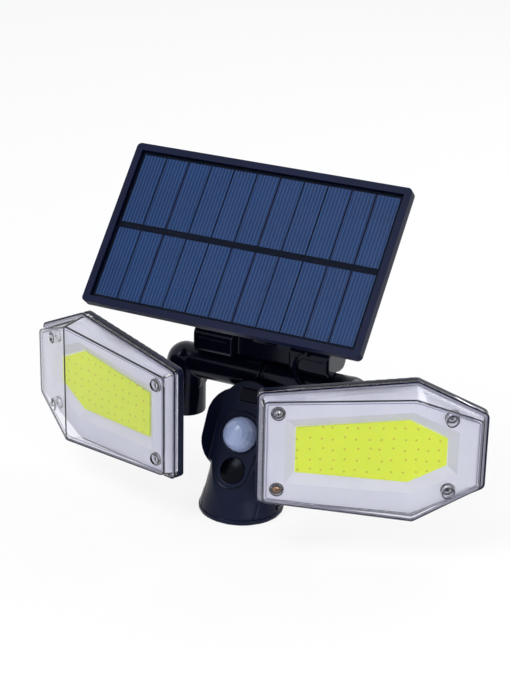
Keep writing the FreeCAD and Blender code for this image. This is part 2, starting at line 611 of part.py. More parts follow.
def hexagon(side, inner, middle, outer):
    """Corners of a lamp outline from three (distance from inner edge, half height) pairs."""
    low = [(f"{side} * ({u} - lamp_pivot_u)", f"-({h})") for u, h in (inner, middle, outer)]
    high = [(f"{side} * ({u} - lamp_pivot_u)", f"{h}") for u, h in (outer, middle, inner)]
    return low + high


def lamp_outline(side, inset):
    """The lamp's flange outline drawn in by an amount on every edge."""
    return hexagon(side, (f"(flange_inner_u + {inset})", f"flange_inner_h - {inset}"),
                   (f"(flange_mid_u - {inset} * 0.3)", f"flange_mid_h - {inset}"),
                   (f"(flange_outer_u - {inset})", f"flange_outer_h - {inset} * 0.8"))


def chip_outline(side, margin):
    """The outline of the light-emitting area widened by a margin."""
    return hexagon(side, (f"(chip_inner_u - ({margin}))", f"chip_inner_h + ({margin})"),
                   (f"(chip_mid_u + ({margin}) * 0.3)", f"chip_mid_h + ({margin})"),
                   (f"(chip_outer_u + ({margin}))", f"chip_outer_h + ({margin}) * 0.8"))


def lamp_prism(name, corners, start, length, draft=None):
    """A prism of the lamp between two distances in front of its flange plane."""
    return prism(name, corners, length, "xz", f"lamp_reach + ({start})", draft)


def keel(name, side, back):
    """Top view of the cover's roof: deepest part-way along and shallow at both ends."""
    flange = "-lamp_reach"
    corners = [(f"{side} * (2 * flange_inner_u - lamp_pivot_u)", flange),
               (f"{side} * (2 * flange_inner_u - lamp_pivot_u)", f"{flange} - cover_inner_depth + ({back})"),
               (f"{side} * (0 - lamp_pivot_u)", f"{flange} - cover_inner_depth + ({back})"),
               (f"{side} * (flange_mid_u - lamp_pivot_u)", f"{flange} - cover_mid_depth + ({back})"),
               (f"{side} * (flange_outer_u + flange_inner_u - lamp_pivot_u)",
                f"{flange} - cover_outer_depth + ({back})"),
               (f"{side} * (flange_outer_u - 2 * flange_inner_u - lamp_pivot_u)",
                f"{flange} - cover_outer_depth + ({back})"),
               (f"{side} * (flange_outer_u - 2 * flange_inner_u - lamp_pivot_u)", flange)]
    return prism(name, corners, "4 * flange_mid_h", start="-2 * flange_mid_h")


def lamp_bosses(name, side, radius, start, length):
    """Cylinders at the four lamp screws, along the lamp's front direction."""
    places = [(u, h) for u, h in (("screw_inner_u", "screw_inner_h"), ("screw_outer_u", "screw_outer_h"))]
    return [rod(f"{name}{i}{sign}", radius, length, f"{side} * ({u} - lamp_pivot_u)",
                f"-lamp_reach - ({start}) - ({length})", f"{1 if sign == 'a' else -1} * {h}", "y")
            for i, (u, h) in enumerate(places) for sign in "ab"]


def build_cover(side, hand):
    """Clear cover: a drafted hexagonal lid with a keeled front, a flange and screw bosses."""
    outer_block = rounded(f"cover_block_{hand}",
                          lamp_prism(f"cover_draft_{hand}", lamp_outline(side, "flange_lip"), "0",
                                     "cover_mid_depth + 1", "cover_draft"), "outline_corner", (0, 1, 0))
    outside = common(f"cover_outside_{hand}", outer_block, keel(f"cover_keel_{hand}", side, "0"))
    lip = rounded(f"cover_lip_{hand}", lamp_prism(f"cover_lip_block_{hand}", lamp_outline(side, "0"), "0",
                                                  "lip_thickness"), "outline_corner", (0, 1, 0))
    inner_block = lamp_prism(f"cover_inner_{hand}", lamp_outline(side, "(flange_lip + cover_wall)"), "0",
                             "cover_mid_depth + 1", "cover_draft")
    inside = common(f"cover_inside_{hand}", inner_block, keel(f"cover_inner_keel_{hand}", side, "cover_wall"))
    bosses = common(f"cover_bosses_{hand}",
                    group(f"boss_set_{hand}", *lamp_bosses(f"boss_{hand}", side, "boss_radius", "0",
                                                           "cover_mid_depth")),
                    keel(f"boss_keel_{hand}", side, "0"))
    shell = cut(f"cover_shell_{hand}", fuse(f"cover_body_{hand}", outside, lip), inside)
    solid = fuse(f"cover_solid_{hand}", shell, bosses)
    holes = lamp_bosses(f"cover_hole_{hand}", side, "lamp_screw_radius + fit_gap", "0", "cover_mid_depth")
    seats = lamp_bosses(f"cover_seat_{hand}", side, "lamp_head_radius + fit_gap", SCREW_SEAT,
                        "cover_mid_depth")
    return cut(f"lamp_cover_{hand}", solid, *holes, *seats)


SCREW_SEAT = "cover_inner_depth - lamp_head_depth - lamp_head_height"


def build_lamp(side, hand):
    """One lamp head: housing with neck, LED board, phosphor, reflector, clear cover and screws."""
    rim = rounded(f"housing_rim_{hand}",
                  lamp_prism(f"housing_rim_block_{hand}", lamp_outline(side, "0"), "-housing_rim",
                             "housing_rim"),
                  "outline_corner", (0, 1, 0))
    bulge = loft(f"housing_bulge_{hand}", lamp_outline(side, "housing_inset / 3"),
                 lamp_outline(side, "housing_inset"), "xz", "lamp_reach - housing_rim",
                 "lamp_reach - housing_rim - housing_bulge")
    root = block(f"neck_root_{hand}", ("-neck_root_half_width", "neck_root_half_width"),
                 ("-lamp_reach + housing_rim + housing_bulge - housing_wall",
                  "-lamp_reach + housing_rim + housing_bulge + neck_root_length"),
                 ("tongue_z - lamp_z - neck_root_half_height + neck_root_lift",
                  "tongue_z - lamp_z + neck_root_half_height + neck_root_lift"))
    neck = block(f"neck_{hand}", ("-neck_half_width", "neck_half_width"),
                 ("-lamp_reach + housing_rim + housing_bulge", "0"),
                 ("tongue_z - lamp_z - tongue_height / 2", "tongue_z - lamp_z + tongue_height / 2"))
    tongue = rod(f"tongue_{hand}", "tongue_radius", "tongue_height",
                 z="tongue_z - lamp_z - tongue_height / 2")
    cavity = loft(f"housing_cavity_{hand}", lamp_outline(side, "(housing_wall + 2.4)"),
                  lamp_outline(side, "(housing_inset + housing_wall)"), "xz", "lamp_reach",
                  "lamp_reach - housing_rim - housing_bulge + housing_wall")
    pads = lamp_bosses(f"pad_{hand}", side, "boss_radius", "-housing_rim", "housing_rim")
    board_pads = board_supports(side, hand)
    hole = rod(f"tongue_hole_{hand}", "pin_radius + running_gap", "tongue_height",
               z="tongue_z - lamp_z - tongue_height / 2")
    threads = lamp_bosses(f"housing_thread_{hand}", side, "lamp_screw_radius", "-housing_rim + 1",
                          "housing_rim - 1")
    tray = cut(f"housing_hollow_{hand}", fuse(f"housing_solid_{hand}", rim, bulge), cavity)
    shell = fuse(f"housing_shell_{hand}", tray, *pads, *board_pads, root, neck, tongue)
    lamp_node(f"lamp_housing_{hand}", cut(f"lamp_housing_{hand}", shell, hole, *threads), side, hand)
    board = lamp_prism(f"led_board_{hand}", chip_outline(side, "led_board_margin"),
                       "led_board_front - led_board_thickness", "led_board_thickness")
    lamp_node(f"led_board_{hand}", board, side, hand)
    chip = lamp_prism(f"led_phosphor_{hand}", chip_outline(side, "0"), "led_board_front", "chip_thickness")
    lamp_node(f"led_phosphor_{hand}", chip, side, hand)
    lamp_node(f"reflector_{hand}", build_reflector(side, hand), side, hand)
    lamp_node(f"lamp_cover_{hand}", build_cover(side, hand), side, hand)
    shanks = lamp_bosses(f"lamp_shank_{hand}", side, "lamp_screw_radius", "-housing_rim + 1",
                         f"{SCREW_SEAT} + housing_rim - 1")
    heads = lamp_bosses(f"lamp_head_{hand}", side, "lamp_head_radius", SCREW_SEAT, "lamp_head_height")
    screws = group(f"lamp_screws_{hand}",
                   *[fuse(f"lamp_screw_{hand}{i}", *pair) for i, pair in enumerate(zip(shanks, heads))])
    lamp_node(f"lamp_screws_{hand}", screws, side, hand)


def lamp_node(label, solid, side, hand):
    """Name a lamp piece and put it on its swivel."""
    node(label, to_lamp(solid, side, hand))


def board_supports(side, hand):
    """Four short pads that carry the LED board above the housing's floor."""
    depth = "housing_rim + housing_bulge - housing_wall"
    length = f"{depth} + led_board_front - led_board_thickness"
    places = [(u, h) for u in ("chip_inner_u + pad_inset", "chip_mid_u - pad_inset")
              for h in ("chip_inner_h - pad_inset", "-chip_inner_h + pad_inset")]
    return [rod(f"board_pad_{hand}{i}", "pad_radius", length, f"{side} * ({u} - lamp_pivot_u)",
                "-lamp_reach - led_board_front + led_board_thickness", h, "y")
            for i, (u, h) in enumerate(places)]


def build_reflector(side, hand):
    """White tray round the light-emitting area, with a flat border and sloped walls."""
    border = lamp_prism(f"reflector_border_{hand}", lamp_outline(side, "reflector_inset"),
                        "reflector_front - reflector_sheet", "reflector_sheet")
    low = "led_board_front"
    well = loft(f"reflector_well_{hand}", chip_outline(side, "0.6 + reflector_sheet"),
                chip_outline(side, "reflector_slope + reflector_sheet"), "xz", f"lamp_reach + {low}",
                "lamp_reach + reflector_front")
    opening = loft(f"reflector_opening_{hand}", chip_outline(side, "0.6"),
                   chip_outline(side, "reflector_slope"), "xz", f"lamp_reach + {low}",
                   "lamp_reach + reflector_front")
    holes = lamp_bosses(f"reflector_hole_{hand}", side, "boss_radius + fit_gap", "0", "reflector_front + 1")
    return cut(f"reflector_{hand}", fuse(f"reflector_solid_{hand}", border, well), opening, *holes)


# ---------------------------------------------------------------- solar panel, hinge and bracket
def plate(name, width, height, low, high):
    """A centred rectangular plate between two depths of the panel frame."""
    return block(name, (f"-({width}) / 2", f"({width}) / 2"),
                 (f"-({height}) / 2", f"({height}) / 2"), (low, high))


GLASS_BACK = "-recess - glazing"
FILM_BACK = f"{GLASS_BACK} - cell_film"
BACKING_BACK = f"{FILM_BACK} - backing"
PLATE_BACK = "-frame_depth - back_plate"
BULGE_BACK = "(-frame_depth - back_plate - bulge_depth)"


def build_panel():
    """Framed panel: bezel, glazing, cells, backing sheet, back cover with hinge ears."""
    slab = plate("panel_slab", "panel_width", "panel_height", "-frame_depth", "0")
    bezel_block = rounded("panel_block", slab, "panel_corner", (0, 0, 1))
    window = plate("panel_window", "panel_width - 2 * bezel", "panel_height - 2 * bezel", "-frame_depth", "0")
    rebate = plate("panel_rebate", "panel_width - 2 * frame_wall", "panel_height - 2 * frame_wall",
                   "-frame_depth", "-recess")
    node("panel_frame", to_panel(cut("panel_frame", bezel_block, window, rebate)))
    inner_width = "panel_width - 2 * frame_wall - 2 * fit_gap"
    inner_height = "panel_height - 2 * frame_wall - 2 * fit_gap"
    node("panel_glazing", to_panel(plate("panel_glazing", inner_width, inner_height, GLASS_BACK, "-recess")))
    node("panel_backing", to_panel(plate("panel_backing", inner_width, inner_height, BACKING_BACK,
                                         FILM_BACK)))
    node("solar_cells", to_panel(group("solar_cells", *cells())))
    back_slab = plate("back_slab", "panel_width", "panel_height", PLATE_BACK, "-frame_depth")
    outer = rounded("back_outer", back_slab, "panel_corner", (0, 0, 1))
    rib_outside = plate("rib_outside", inner_width, inner_height, "-frame_depth", BACKING_BACK)
    rib_inside = plate("rib_inside", f"{inner_width} - 2 * back_rib", f"{inner_height} - 2 * back_rib",
                       "-frame_depth", BACKING_BACK)
    bulge = rounded("bulge_block", plate("bulge_slab", "bulge_width", "bulge_height", BULGE_BACK, PLATE_BACK),
                    "panel_corner * 2", (0, 0, 1))
    hollow = plate("bulge_hollow", "bulge_width - 2 * back_wall", "bulge_height - 2 * back_wall",
                   f"{BULGE_BACK} + back_wall", "-frame_depth")
    ears = [ear(f"ear_{hand}", side) for side, hand in SIDES]
    solid = fuse("back_solid", outer, cut("back_rib", rib_outside, rib_inside), bulge, *ears)
    bolt_hole = rod("ear_hole", "hinge_bolt_radius", "2 * (knuckle_half + 2 * ear_thickness)",
                    "-knuckle_half - 2 * ear_thickness", "0", "-hinge_back", "x")
    node("panel_back_cover", to_panel(cut("panel_back_cover", solid, hollow, bolt_hole)))


def ear(name, side):
    """One hinge ear standing on the panel's back."""
    low = "knuckle_half + ear_gap"
    high = f"{low} + ear_thickness"
    span = (low, high) if side > 0 else (f"-({high})", f"-({low})")
    stem = block(name + "_stem", span, ("-knuckle_radius", "knuckle_radius"), ("-hinge_back", BULGE_BACK))
    eye = rod(name + "_eye", "knuckle_radius", "ear_thickness", span[0], "0", "-hinge_back", "x")
    return fuse(name, stem, eye)


def cells():
    """Two rows of upright silicon strips."""
    count = int(value("cell_count"))
    pitch = "((panel_width - 2 * bezel - 2 * cell_margin + cell_gap) / cell_count)"
    tall = "((panel_height - 2 * bezel - 2 * cell_margin - cell_row_gap) / 2)"
    pieces = []
    for row, low in (("low", f"-cell_row_gap / 2 - {tall}"), ("high", "cell_row_gap / 2")):
        for index in range(count):
            left = f"-panel_width / 2 + bezel + cell_margin + {index} * {pitch}"
            pieces.append(block(f"cell_{row}{index}", (left, f"{left} + {pitch} - cell_gap"),
                                (low, f"{low} + {tall}"), (FILM_BACK, GLASS_BACK)))
    return pieces


def build_hinge():
    """Panel hinge bolt and its lobed clamping knob, in the panel frame."""
    outer = "(knuckle_half + ear_gap + ear_thickness)"
    bolt = fuse("hinge_bolt",
                rod("hinge_shank", "hinge_bolt_radius", f"2 * {outer} + knob_length / 2", f"-{outer}", "0",
                    "-hinge_back", "x"),
                rod("hinge_head", "hinge_head_radius", "hinge_head_height",
                    f"-{outer} - hinge_head_height", "0", "-hinge_back", "x"))
    node("hinge_bolt", to_panel(bolt))
    disc = rod("knob_disc", "knob_radius", "knob_length", outer, "0", "-hinge_back", "x")
    dents = []
    lobes = int(value("knob_lobes"))
    for index in range(lobes):
        turn = f"({index} * 360 / {lobes}) * 1deg"
        dents.append(rod(f"knob_dent{index}", "knob_lobe_radius", "knob_length", outer,
                         f"(knob_radius + knob_lobe_radius / 3) * cos({turn})",
                         f"(knob_radius + knob_lobe_radius / 3) * sin({turn}) - hinge_back", "x"))
    thread = rod("knob_thread", "hinge_bolt_radius", "knob_length / 2", outer, "0", "-hinge_back", "x")
    node("hinge_knob", to_panel(cut("hinge_knob", disc, thread, *dents)))


def build_bracket():
    """Panel bracket: foot on the rear cover, spine behind the bar, saddle over it and an upright."""
    foot = block("foot_plate", ("-spine_half_width", "spine_half_width"), ("foot_low", "foot_high"),
                 (FOOT_BACK, COVER_BACK))
    foot_holes = posts("foot_hole", "screw_radius + running_gap", FOOT_BACK, "foot_thickness", FOOT_X, FOOT_V)
    foot = to_face(cut("bracket_foot", foot, *foot_holes))
    spine = block("spine", ("-spine_half_width", "spine_half_width"),
                  ("saddle_back", "saddle_back + spine_thickness"), ("spine_low", "saddle_top"))
    saddle = rounded("saddle_soft", block("saddle_block", ("-saddle_half_width", "saddle_half_width"),
                                          ("saddle_front", "saddle_back + spine_thickness"),
                                          ("saddle_base", "saddle_top")), "saddle_round", (1, 0, 0))
    tunnel = rod("saddle_tunnel", "bar_radius + saddle_gap", "2 * saddle_half_width", "-saddle_half_width",
                 "bar_y", "bar_z", "x")
    notch = block("saddle_notch", ("-saddle_notch_half", "saddle_notch_half"),
                  ("saddle_front", "saddle_front + saddle_notch_depth"), ("saddle_base", "saddle_top"))
    corners = [("saddle_front + saddle_notch_depth", "saddle_top - 6"), ("saddle_back", "saddle_top - 6"),
               ("saddle_back", "saddle_top"), ("hinge_y + knuckle_radius * 0.9", "hinge_z + 2"),
               ("hinge_y - knuckle_radius * 0.8", "hinge_z - 5")]
    upright = prism("upright", corners, "2 * upright_half_width", "yz", "-upright_half_width")
    knuckle = rod("bracket_knuckle", "knuckle_radius", "2 * knuckle_half", "-knuckle_half", "hinge_y",
                  "hinge_z", "x")
    solid = fuse("bracket_solid", foot, spine, cut("saddle", saddle, tunnel, notch), upright, knuckle)
    bolt_bore = rod("bracket_bore", "hinge_bolt_radius + running_gap", "2 * knuckle_half", "-knuckle_half",
                    "hinge_y", "hinge_z", "x")
    node("panel_bracket", cut("panel_bracket", solid, bolt_bore))
    node("bracket_screws", to_face(screw_set("bracket_screw", FOOT_BACK, FOOT_X, FOOT_V,
                                             "foot_thickness + cover_thickness")))


build_base()
build_front_shell()
build_sensor()
build_rear_shell()
build_battery()
build_shaft()
for side, hand in SIDES:
    build_arm(side, hand)
    build_lamp(side, hand)
build_panel()
build_hinge()
build_bracket()
doc.recompute()

# ---------------------------------------------------------------- checks and files
for thing in doc.Objects:
    if "Invalid" in thing.State or "Error" in thing.State:
        raise RuntimeError(f"{thing.Label} failed to build")
for label, solid in NODES.items():
    if solid.Shape.isNull() or not solid.Shape.isValid() or not solid.Shape.Solids:
        raise RuntimeError(f"{label} is not a valid solid")

os.makedirs("parts", exist_ok=True)
for label, solid in NODES.items():
    solid.Shape.exportStep(f"parts/{label}.step")
    print(f"{label}: {len(solid.Shape.Solids)} solids, {solid.Shape.Volume:.0f} mm3")
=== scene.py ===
"""Solar flood light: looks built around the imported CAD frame. Metres, same frame as the model."""
import math

import bmesh
import bpy
from mathutils import Matrix, Vector


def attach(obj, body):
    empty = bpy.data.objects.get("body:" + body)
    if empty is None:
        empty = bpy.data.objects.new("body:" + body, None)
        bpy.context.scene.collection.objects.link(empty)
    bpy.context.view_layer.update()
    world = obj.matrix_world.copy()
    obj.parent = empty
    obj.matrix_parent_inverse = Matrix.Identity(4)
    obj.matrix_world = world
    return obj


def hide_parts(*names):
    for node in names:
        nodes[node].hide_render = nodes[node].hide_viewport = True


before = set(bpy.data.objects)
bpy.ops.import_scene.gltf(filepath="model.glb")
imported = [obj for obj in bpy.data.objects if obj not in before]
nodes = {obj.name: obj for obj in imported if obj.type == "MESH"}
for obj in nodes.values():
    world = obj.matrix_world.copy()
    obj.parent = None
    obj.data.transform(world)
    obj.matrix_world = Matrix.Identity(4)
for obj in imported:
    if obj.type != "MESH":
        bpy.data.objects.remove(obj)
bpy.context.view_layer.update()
scene = bpy.context.scene
scene.view_settings.view_transform = "Standard"
MM = 0.001
SIDES = (("right", 1), ("left", -1))

# ------------------------------------------------------------------ sizes shared with the model, in mm
# Each lamp's swivel axis, and how far it is swung outwards at rest, in degrees
ARM_X = 59.0
BAR_Y = 34.0
LAMP_Z = 68.0
SWING = {"right": 27.0, "left": 22.4}
# A lamp's outline along its width (u) and height (h); where the axis lies along u, and how far the flange
# plane stands before it
OUTLINE = [(-3.3, -37.0), (92.8, -45.9), (136.6, -24.7), (136.6, 24.7), (92.8, 45.9), (-3.3, 37.0)]
PIVOT_U = 56.5
LAMP_REACH = 55.4
# The clear cover: its lip, its drafted wall (degrees), its moulded corners and its keeled front
LIP_THICKNESS = 2.4
LIP_STEP = 1.8
COVER_DRAFT = 11.0
CORNER = 4.0
KEEL_U = 92.8
KEEL_END = OUTLINE[2][0] + OUTLINE[0][0]
KEEL_INNER = 8.6
KEEL_DEPTH = 17.4
KEEL_OUTER = 8.2
# The cover's screws (u, h) and how far their seats stand before the flange plane
SCREWS = ((9.3, 25.4), (9.3, -25.4), (113.4, 24.1), (113.4, -24.1))
SCREW_SEAT = 5.4
# The body's leaning face, the sensor's dome in it and the lens below
FACE_Y = -2.5
FACE_Z = 52.0
FACE_LEAN = 29.0
SHELL_WALL = 2.2
DOME_RADIUS = 11.4
DOME_WALL = 1.0
DOME_FLANGE = 13.4
FLANGE_THICKNESS = 1.1
LENS_DROP = 23.5
# The saddle under the bracket, with a notch between its lugs
SADDLE_FRONT = 22.5
SADDLE_HALF_WIDTH = 48.0
NOTCH_HALF = 20.0
# The panel's hinge, the panel's lean (degrees) and its clear sheet
HINGE_Y = 12.6
HINGE_Z = 165.8
HINGE_BACK = 21.0
PANEL_LEAN = 41.4
GLAZING_SIZE = (181.4, 103.4, 1.0)
GLAZING_FRONT = -1.6

# ------------------------------------------------------------------ looks alone, in mm and degrees
# Moulded skins: remeshing size, share of the faces that is kept, rounds of smoothing
VOXEL = 0.6
KEPT_FACES = 0.35
EDGE_ROUNDS = 5
BRACKET_ROUNDS = 14
# The painted highlight, a pale band on the housing's front under a cover's lip: how far back from the flange
# plane it shows, and how far in from the rim
LIP_HIGHLIGHT_DEPTH = 0.45
LIP_HIGHLIGHT_INSET = 1.0
# Sharper edges than this stay crisp; shorter lengths than this are nothing, in whatever unit they come
SHARP_ANGLE = 40
TINY = 1e-7
# Dome: the angles of its rows of facets, and the facets in a row
DOME_ROWS = (0, 9, 26, 44, 62, 78, 90)
DOME_FACETS = 18
# Beads: the sides of their section, the oval ring on the face, the clamp rib on the saddle
BEAD_SIDES = 8
RING_UPPER, RING_LOWER, RING_BEAD, RING_STEPS = 14.6, 11.6, 0.52, 48
HOOK_MIDDLE, HOOK_RADII = (36, 94), (11.0, 11.5)
HOOK_START, HOOK_END, HOOK_STEPS = 100, 265, 30
HOOK_FOOT = [(40, 82.9), (45, 84.5)]
HOOK_BEAD, HOOK_STAND = 1.5, 1.2
# Lamp screws: (radius, height) of head and shank, and the two bars of the cross recess, drawn as dark blocks
# of painted shade
HEAD_PROFILE = [(0, 2.2), (0.9, 2.15), (1.8, 1.85), (2.5, 1.25), (2.9, 0.4), (2.9, 0), (1.4, 0),
                (1.4, -8.8), (0, -9.2)]
HEAD_SIDES = 28
RECESS_SIZES = ((2.9, 0.62, 0.5), (0.62, 2.9, 0.5))
RECESS_HEIGHT, RECESS_ROUND = 1.97, 0.1
# Bands along a lamp's outline: steps round a corner, and the (inset, depth) corners of the reflector's skirt
CORNER_STEPS = 4
SMALLEST_CORNER = 0.3
SKIRT = ((4.5, 0.25), (5.35, 5.9), (6.1, 5.9), (5.3, 0.25))
# Ridges on the lugs: (distance behind the saddle's front, height), size and rounding
RIDGES = ((0.3, 101.0), (2.2, 105.8))
RIDGE_SIZE, RIDGE_ROUND = (20, 1.2, 1.1), 0.4
# The panel's sheet: the gap it leaves before the cells, and its rounded edge
GLAZING_GAP, GLAZING_ROUND = 0.12, 0.2
# Pitch of the chips and of the cells' finger lines, width of a finger, and its share of the finger colour
CHIP_PITCH = 7.2
FINGER_PITCH, FINGER_WIDTH, FINGER_SHARE = 2.2, 0.6, 0.85

# ------------------------------------------------------------------ the studio, in metres and degrees
CAMERA_PLACE = (0.48107, -0.96357, 0.57067)
CAMERA_AZIMUTH, CAMERA_ELEVATION, CAMERA_ROLL = 26.53, 23.16, 1.03
CAMERA_LENS, SENSOR_WIDTH = 99.51, 36
CAMERA_SHIFT = (0.0162, 0.0135)
CAMERA_FAR = 50
FLOOR_HALF, FLOOR_DROP = 6, 0.0004
# Strength of the soft light, and how nearly white the floor is seen
SOFT_LIGHT, FLOOR_GLOW = 0.45, 0.85
# Reflections off dark plastic are slightly blue
GLOSS_TINT = (0.72, 0.78, 1, 1)


# ------------------------------------------------------------------ camera
def aim_camera():
    """Long lens, right of the front and above, as the light is usually pictured."""
    azimuth = math.radians(CAMERA_AZIMUTH)
    elevation = math.radians(CAMERA_ELEVATION)
    roll = math.radians(CAMERA_ROLL)
    forward = Vector((-math.sin(azimuth) * math.cos(elevation), math.cos(azimuth) * math.cos(elevation),
                      -math.sin(elevation)))
    right = Vector((math.cos(azimuth), math.sin(azimuth), 0))
    up = right.cross(forward)
    right_rolled = right * math.cos(roll) + up * math.sin(roll)
    up_rolled = up * math.cos(roll) - right * math.sin(roll)
    data = bpy.data.cameras.new("camera")
    data.lens = CAMERA_LENS
    data.sensor_width = SENSOR_WIDTH
    data.shift_x, data.shift_y = CAMERA_SHIFT
    data.clip_end = CAMERA_FAR
    camera = bpy.data.objects.new("camera", data)
    turned = Matrix((right_rolled, up_rolled, -forward)).transposed().to_4x4()
    camera.matrix_world = Matrix.Translation(CAMERA_PLACE) @ turned
    scene.collection.objects.link(camera)
    scene.camera = camera


aim_camera()


# ------------------------------------------------------------------ shader nodes
def set_socket(tree, socket, value):
    """Link a socket to an output, or give it a number or colour."""
    if isinstance(value, bpy.types.NodeSocket):
        tree.links.new(value, socket)
    else:
        socket.default_value = value


def add_math(tree, operation, first, second):
    node = tree.nodes.new("ShaderNodeMath")
    node.operation = operation
    set_socket(tree, node.inputs[0], first)
    set_socket(tree, node.inputs[1], second)
    return node.outputs[0]


def mix_shaders(tree, amount, first, second):
    mix = tree.nodes.new("ShaderNodeMixShader")
    tree.links.new(amount, mix.inputs["Fac"])
    tree.links.new(first, mix.inputs[1])
    tree.links.new(second, mix.inputs[2])
    return mix.outputs[0]


def mix_colours(tree, amount, first, second, mode="MIX"):
    mix = tree.nodes.new("ShaderNodeMix")
    mix.data_type = "RGBA"
    mix.blend_type = mode
    set_socket(tree, mix.inputs["Factor"], amount)
    set_socket(tree, mix.inputs["A"], first)
    set_socket(tree, mix.inputs["B"], second)
    return mix.outputs["Result"]


def object_coordinates(tree):
    return tree.nodes.new("ShaderNodeTexCoord").outputs["Object"]


def split_axes(tree, vector):
    split = tree.nodes.new("ShaderNodeSeparateXYZ")
    tree.links.new(vector, split.inputs["Vector"])
    return split.outputs


def add_noise(tree, coords, scale, detail=2.0):
    noise = tree.nodes.new("ShaderNodeTexNoise")
    noise.inputs["Scale"].default_value = scale
    noise.inputs["Detail"].default_value = detail
    tree.links.new(coords, noise.inputs["Vector"])
    return noise.outputs["Fac"]


def add_ramp(tree, amount, *stops):
    """A colour ramp between two stops, each a position and a colour."""
    ramp = tree.nodes.new("ShaderNodeValToRGB")
    for element, (position, colour) in zip(ramp.color_ramp.elements, stops):
        element.position = position
        element.color = (*colour, 1)
    tree.links.new(amount, ramp.inputs["Fac"])
    return ramp.outputs["Color"]


def seen_white(tree):
    """1 for the rays that see the background: the camera's, and those through clear or off glossy parts."""
    rays = tree.nodes.new("ShaderNodeLightPath").outputs
    through = add_math(tree, "MAXIMUM", rays["Is Camera Ray"], rays["Is Transmission Ray"])
    return add_math(tree, "MAXIMUM", through, rays["Is Glossy Ray"])


# ------------------------------------------------------------------ light
def add_area(name, place, target, size, power):
    data = bpy.data.lights.new(name, "AREA")
    data.size = size
    data.energy = power
    data.color = (0.97, 0.98, 1)
    lamp = bpy.data.objects.new(name, data)
    lamp.location = place
    lamp.rotation_euler = (Vector(target) - Vector(place)).to_track_quat("-Z", "Y").to_euler()
    scene.collection.objects.link(lamp)


def add_background(tree, colour, strength):
    background = tree.nodes.new("ShaderNodeBackground")
    background.inputs["Color"].default_value = colour
    background.inputs["Strength"].default_value = strength
    return background.outputs[0]


def light_world():
    """Soft light from all round, and a backdrop that is seen as white."""
    world = bpy.data.worlds.new("studio")
    world.use_nodes = True
    tree = world.node_tree
    tree.nodes.clear()
    soft = add_background(tree, (0.95, 0.96, 1, 1), SOFT_LIGHT)
    white_backdrop = add_background(tree, (1, 1, 1, 1), 1)
    out = tree.nodes.new("ShaderNodeOutputWorld")
    tree.links.new(mix_shaders(tree, seen_white(tree), soft, white_backdrop), out.inputs["Surface"])
    scene.world = world


light_world()
add_area("key", (-0.5, -0.9, 1.6), (0, 0, 0.1), 0.9, 17)
add_area("fill", (1.1, -0.9, 0.6), (0, 0, 0.1), 0.8, 7)
add_area("rim", (0.2, 1.0, 1.0), (0, 0, 0.12), 0.7, 6)


# ------------------------------------------------------------------ materials
def new_material(name):
    mat = bpy.data.materials.new(name)
    mat.use_nodes = True
    return mat, mat.node_tree, mat.node_tree.nodes["Principled BSDF"]


def mottled(tree, shader, coords, low, high, scale, detail=4.0):
    """Colour that wanders between two tones."""
    noise = add_noise(tree, coords, scale, detail)
    tree.links.new(add_ramp(tree, noise, (0.3, low), (0.7, high)), shader.inputs["Base Color"])


def grained(tree, shader, coords, scale, distance, rough):
    """Fine moulded or machined grain in bump and roughness."""
    noise = add_noise(tree, coords, scale, 3)
    bump = tree.nodes.new("ShaderNodeBump")
    bump.inputs["Strength"].default_value = 0.25
    bump.inputs["Distance"].default_value = distance
    span = tree.nodes.new("ShaderNodeMapRange")
    span.inputs["To Min"].default_value, span.inputs["To Max"].default_value = rough
    tree.links.new(noise, bump.inputs["Height"])
    tree.links.new(noise, span.inputs["Value"])
    tree.links.new(bump.outputs["Normal"], shader.inputs["Normal"])
    tree.links.new(span.outputs["Result"], shader.inputs["Roughness"])


def plastic(name, low, high, rough, grain=2500, specular=0.5):
    """Opaque moulding, mottled between two tones."""
    mat, tree, shader = new_material(name)
    coords = object_coordinates(tree)
    mottled(tree, shader, coords, low, high, scale=35)
    grained(tree, shader, coords, grain, 0.00003, rough)
    shader.inputs["Specular IOR Level"].default_value = specular
    shader.inputs["Specular Tint"].default_value = GLOSS_TINT
    return mat


def metal(name, low, high, rough):
    """Bare or plated metal."""
    mat, tree, shader = new_material(name)
    coords = object_coordinates(tree)
    mottled(tree, shader, coords, low, high, scale=300)
    grained(tree, shader, coords, 4000, 0.00002, rough)
    shader.inputs["Metallic"].default_value = 1
    return mat


def clear(name, tint, rough, alpha=None, ior=1.49, specular=0.5):
    """Clear plastic that bends light, or a thin see-through film where alpha is given."""
    mat, tree, shader = new_material(name)
    coords = object_coordinates(tree)
    mottled(tree, shader, coords, tint, tuple(min(1, c * 1.03) for c in tint), scale=12, detail=1)
    grained(tree, shader, coords, 60, 0.00004, rough)
    shader.inputs["IOR"].default_value = ior
    shader.inputs["Specular IOR Level"].default_value = specular
    if alpha is None:
        shader.inputs["Transmission Weight"].default_value = 1
    else:
        shader.inputs["Alpha"].default_value = alpha
    return mat


